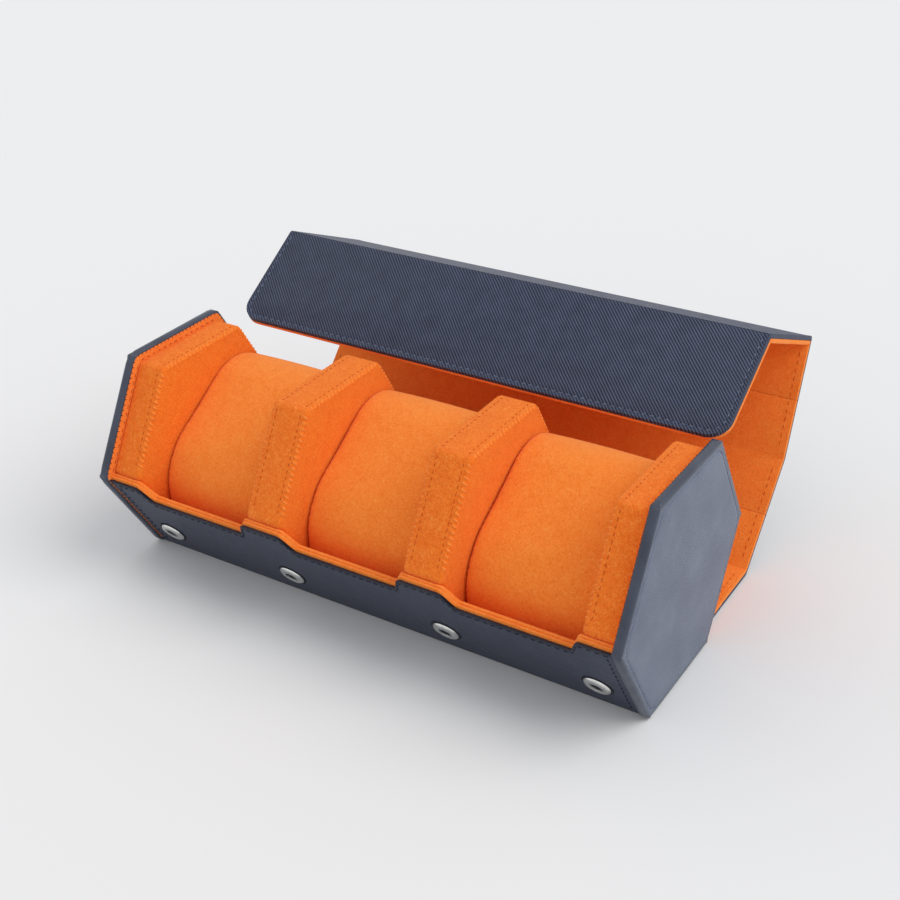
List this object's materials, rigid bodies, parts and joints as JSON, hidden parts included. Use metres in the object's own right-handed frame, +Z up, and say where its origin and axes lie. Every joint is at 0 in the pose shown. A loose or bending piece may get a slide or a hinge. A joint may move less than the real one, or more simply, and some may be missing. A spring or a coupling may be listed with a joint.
{
  "type": "watch travel case",
  "caption": "Hexagonal travel case with cushioned slots between padded blocks, a folding wrap lid hinged at the back, and a flap that snaps shut.",
  "frame": {"origin": "centre of the bottom face of the case, on the surface that it stands on", "axes": "+X along the case to its right end, +Y to the back where the lid hinges, +Z up"},
  "size_m": [0.2258, 0.1742, 0.1034],
  "materials": {
    "navy_leather": "satin, embossed with a fine cross-hatched grain",
    "orange_suede": "matte microsuede nap",
    "grey_board": "plain compressed fibre board",
    "foam": "firm foam",
    "snap_metal": "polished nickel plate",
    "spring_wire": "drawn wire",
    "rivet_metal": "plain nickel plate"
  },
  "bodies": {
    "case": {"base_leather": "navy_leather", "base_board": "grey_board", "front_board": "grey_board", "base_lining": "orange_suede", "hinge_fold": "navy_leather", "left_plate_leather": "navy_leather", "left_plate_board": "grey_board", "left_plate_lining": "orange_suede", "right_plate_leather": "navy_leather", "right_plate_board": "grey_board", "right_plate_lining": "orange_suede", "left_end_block_cover": "orange_suede", "left_end_block_core": "foam", "left_divider_cover": "orange_suede", "left_divider_core": "foam", "right_divider_cover": "orange_suede", "right_divider_core": "foam", "right_end_block_cover": "orange_suede", "right_end_block_core": "foam", "snap_sockets": "snap_metal", "snap_springs": "spring_wire", "snap_posts": "rivet_metal"},
    "lid_back_lower": {"lid_back_lower_leather": "navy_leather", "lid_back_lower_board": "grey_board", "lid_back_lower_lining": "orange_suede", "back_fold": "navy_leather"},
    "lid_back_upper": {"lid_back_upper_leather": "navy_leather", "lid_back_upper_board": "grey_board", "lid_back_upper_lining": "orange_suede", "top_back_fold": "navy_leather"},
    "lid_top": {"lid_top_leather": "navy_leather", "lid_top_board": "grey_board", "lid_top_lining": "orange_suede"},
    "front_fold_roll": {"top_front_fold": "navy_leather"},
    "lid_front": {"lid_front_leather": "navy_leather", "lid_front_board": "grey_board", "lid_front_lining": "orange_suede"},
    "flap_fold_roll": {"flap_fold": "navy_leather"},
    "flap": {"flap_leather": "navy_leather", "flap_board": "grey_board", "flap_lining": "orange_suede", "snap_studs": "snap_metal", "stud_plates": "rivet_metal"},
    "left_cushion": {"left_cushion_cover": "orange_suede", "left_cushion_core": "foam"},
    "middle_cushion": {"middle_cushion_cover": "orange_suede", "middle_cushion_core": "foam"},
    "right_cushion": {"right_cushion_cover": "orange_suede", "right_cushion_core": "foam"}
  },
  "joints": [
    {"name": "lid_hinge", "type": "hinge", "parent": "case", "child": "lid_back_lower", "pos_m": [0, 0.02396, 0.0018], "axis": [1, 0, 0], "range_deg": [0, 60]},
    {"name": "back_fold_turn", "type": "hinge", "parent": "lid_back_lower", "child": "lid_back_upper", "pos_m": [0, 0.07188, 0.0018], "axis": [1, 0, 0], "range_deg": [0, 13.5]},
    {"name": "top_back_fold_turn", "type": "hinge", "parent": "lid_back_upper", "child": "lid_top", "pos_m": [0, 0.10487, 0.03656], "axis": [1, 0, 0], "range_deg": [0, 38]},
    {"name": "top_front_fold_turn", "type": "hinge", "parent": "lid_top", "child": "front_fold_roll", "pos_m": [0, 0.12243, 0.08115], "axis": [1, 0, 0], "range_deg": [-52, 0]},
    {"name": "front_press_turn", "type": "hinge", "parent": "front_fold_roll", "child": "lid_front", "pos_m": [0, 0.12243, 0.08115], "axis": [1, 0, 0], "range_deg": [0, 21.65]},
    {"name": "flap_fold_opening", "type": "hinge", "parent": "lid_front", "child": "flap_fold_roll", "pos_m": [0, 0.07543, 0.10159], "axis": [1, 0, 0], "range_deg": [-56, 0]},
    {"name": "flap_closing", "type": "hinge", "parent": "flap_fold_roll", "child": "flap", "pos_m": [0, 0.07543, 0.10159], "axis": [1, 0, 0], "range_deg": [0, 62.35]},
    {"name": "left_cushion_lift", "type": "slide", "parent": "case", "child": "left_cushion", "axis": [0, 0.5, -0.866], "range_m": [-0.06, 0]},
    {"name": "middle_cushion_lift", "type": "slide", "parent": "case", "child": "middle_cushion", "axis": [0, 0.5, -0.866], "range_m": [-0.06, 0]},
    {"name": "right_cushion_lift", "type": "slide", "parent": "case", "child": "right_cushion", "axis": [0, 0.5, -0.866], "range_m": [-0.06, 0]}
  ],
  "couplings": [
    {"joint": "back_fold_turn", "follows": "lid_hinge", "ratio": 0.225},
    {"joint": "top_back_fold_turn", "follows": "lid_hinge", "ratio": 0.63333},
    {"joint": "top_front_fold_turn", "follows": "lid_hinge", "ratio": -0.86667},
    {"joint": "flap_fold_opening", "follows": "lid_hinge", "ratio": -0.93333}
  ]
}
